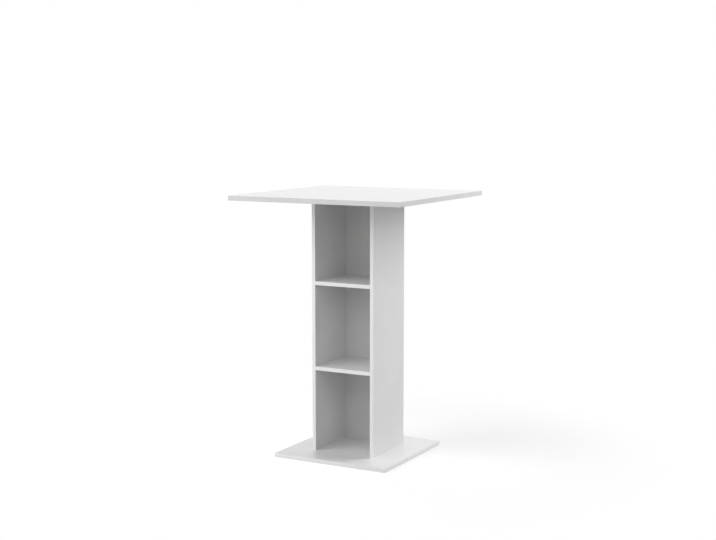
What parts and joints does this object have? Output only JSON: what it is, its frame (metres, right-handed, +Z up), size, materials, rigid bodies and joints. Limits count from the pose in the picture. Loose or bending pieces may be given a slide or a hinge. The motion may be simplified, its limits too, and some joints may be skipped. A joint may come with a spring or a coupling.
{
  "type": "bar table",
  "caption": "Free-standing bar table: square top on a square column of boards with fixed shelves, open at the front, on a flat square base plate.",
  "frame": {"origin": "on the floor under the middle of the table", "axes": "+Z up, the open front of the column looks along -Y, +X to its right"},
  "size_m": [0.75, 0.75, 1.058],
  "materials": {
    "board": "particle board faced with silky white melamine",
    "edge_band": "white edge band, silky",
    "top_band": "white edge band of the table top, silky, a touch greyer",
    "cam_zinc": "die-cast zinc, dull",
    "fastener_steel": "bright zinc-plated steel",
    "cap": "white moulded plastic",
    "dowel": "raw beech",
    "glide": "off-white moulded plastic"
  },
  "bodies": {
    "root": {"top_panel": "board", "top_edge_front": "top_band", "top_edge_rear": "top_band", "top_edge_left": "top_band", "top_edge_right": "top_band", "base_panel": "board", "base_edge_front": "edge_band", "base_edge_rear": "edge_band", "base_edge_left": "edge_band", "base_edge_right": "edge_band", "left_side_panel": "board", "left_side_front_edge": "edge_band", "left_side_rear_edge": "edge_band", "right_side_panel": "board", "right_side_front_edge": "edge_band", "right_side_rear_edge": "edge_band", "back_panel": "board", "upper_shelf": "board", "upper_shelf_edge": "edge_band", "lower_shelf": "board", "lower_shelf_edge": "edge_band", "top_cams": "cam_zinc", "top_cam_bolts": "fastener_steel", "top_cam_caps": "cap", "top_dowels": "dowel", "shelf_cams": "cam_zinc", "shelf_cam_bolts": "fastener_steel", "shelf_cam_caps": "cap", "shelf_end_dowels": "dowel", "shelf_rear_dowels": "dowel", "back_cams": "cam_zinc", "back_cam_bolts": "fastener_steel", "back_cam_caps": "cap", "back_dowels": "dowel", "base_screws": "fastener_steel", "base_dowels": "dowel", "floor_glides": "glide", "glide_nails": "fastener_steel"}
  },
  "joints": []
}
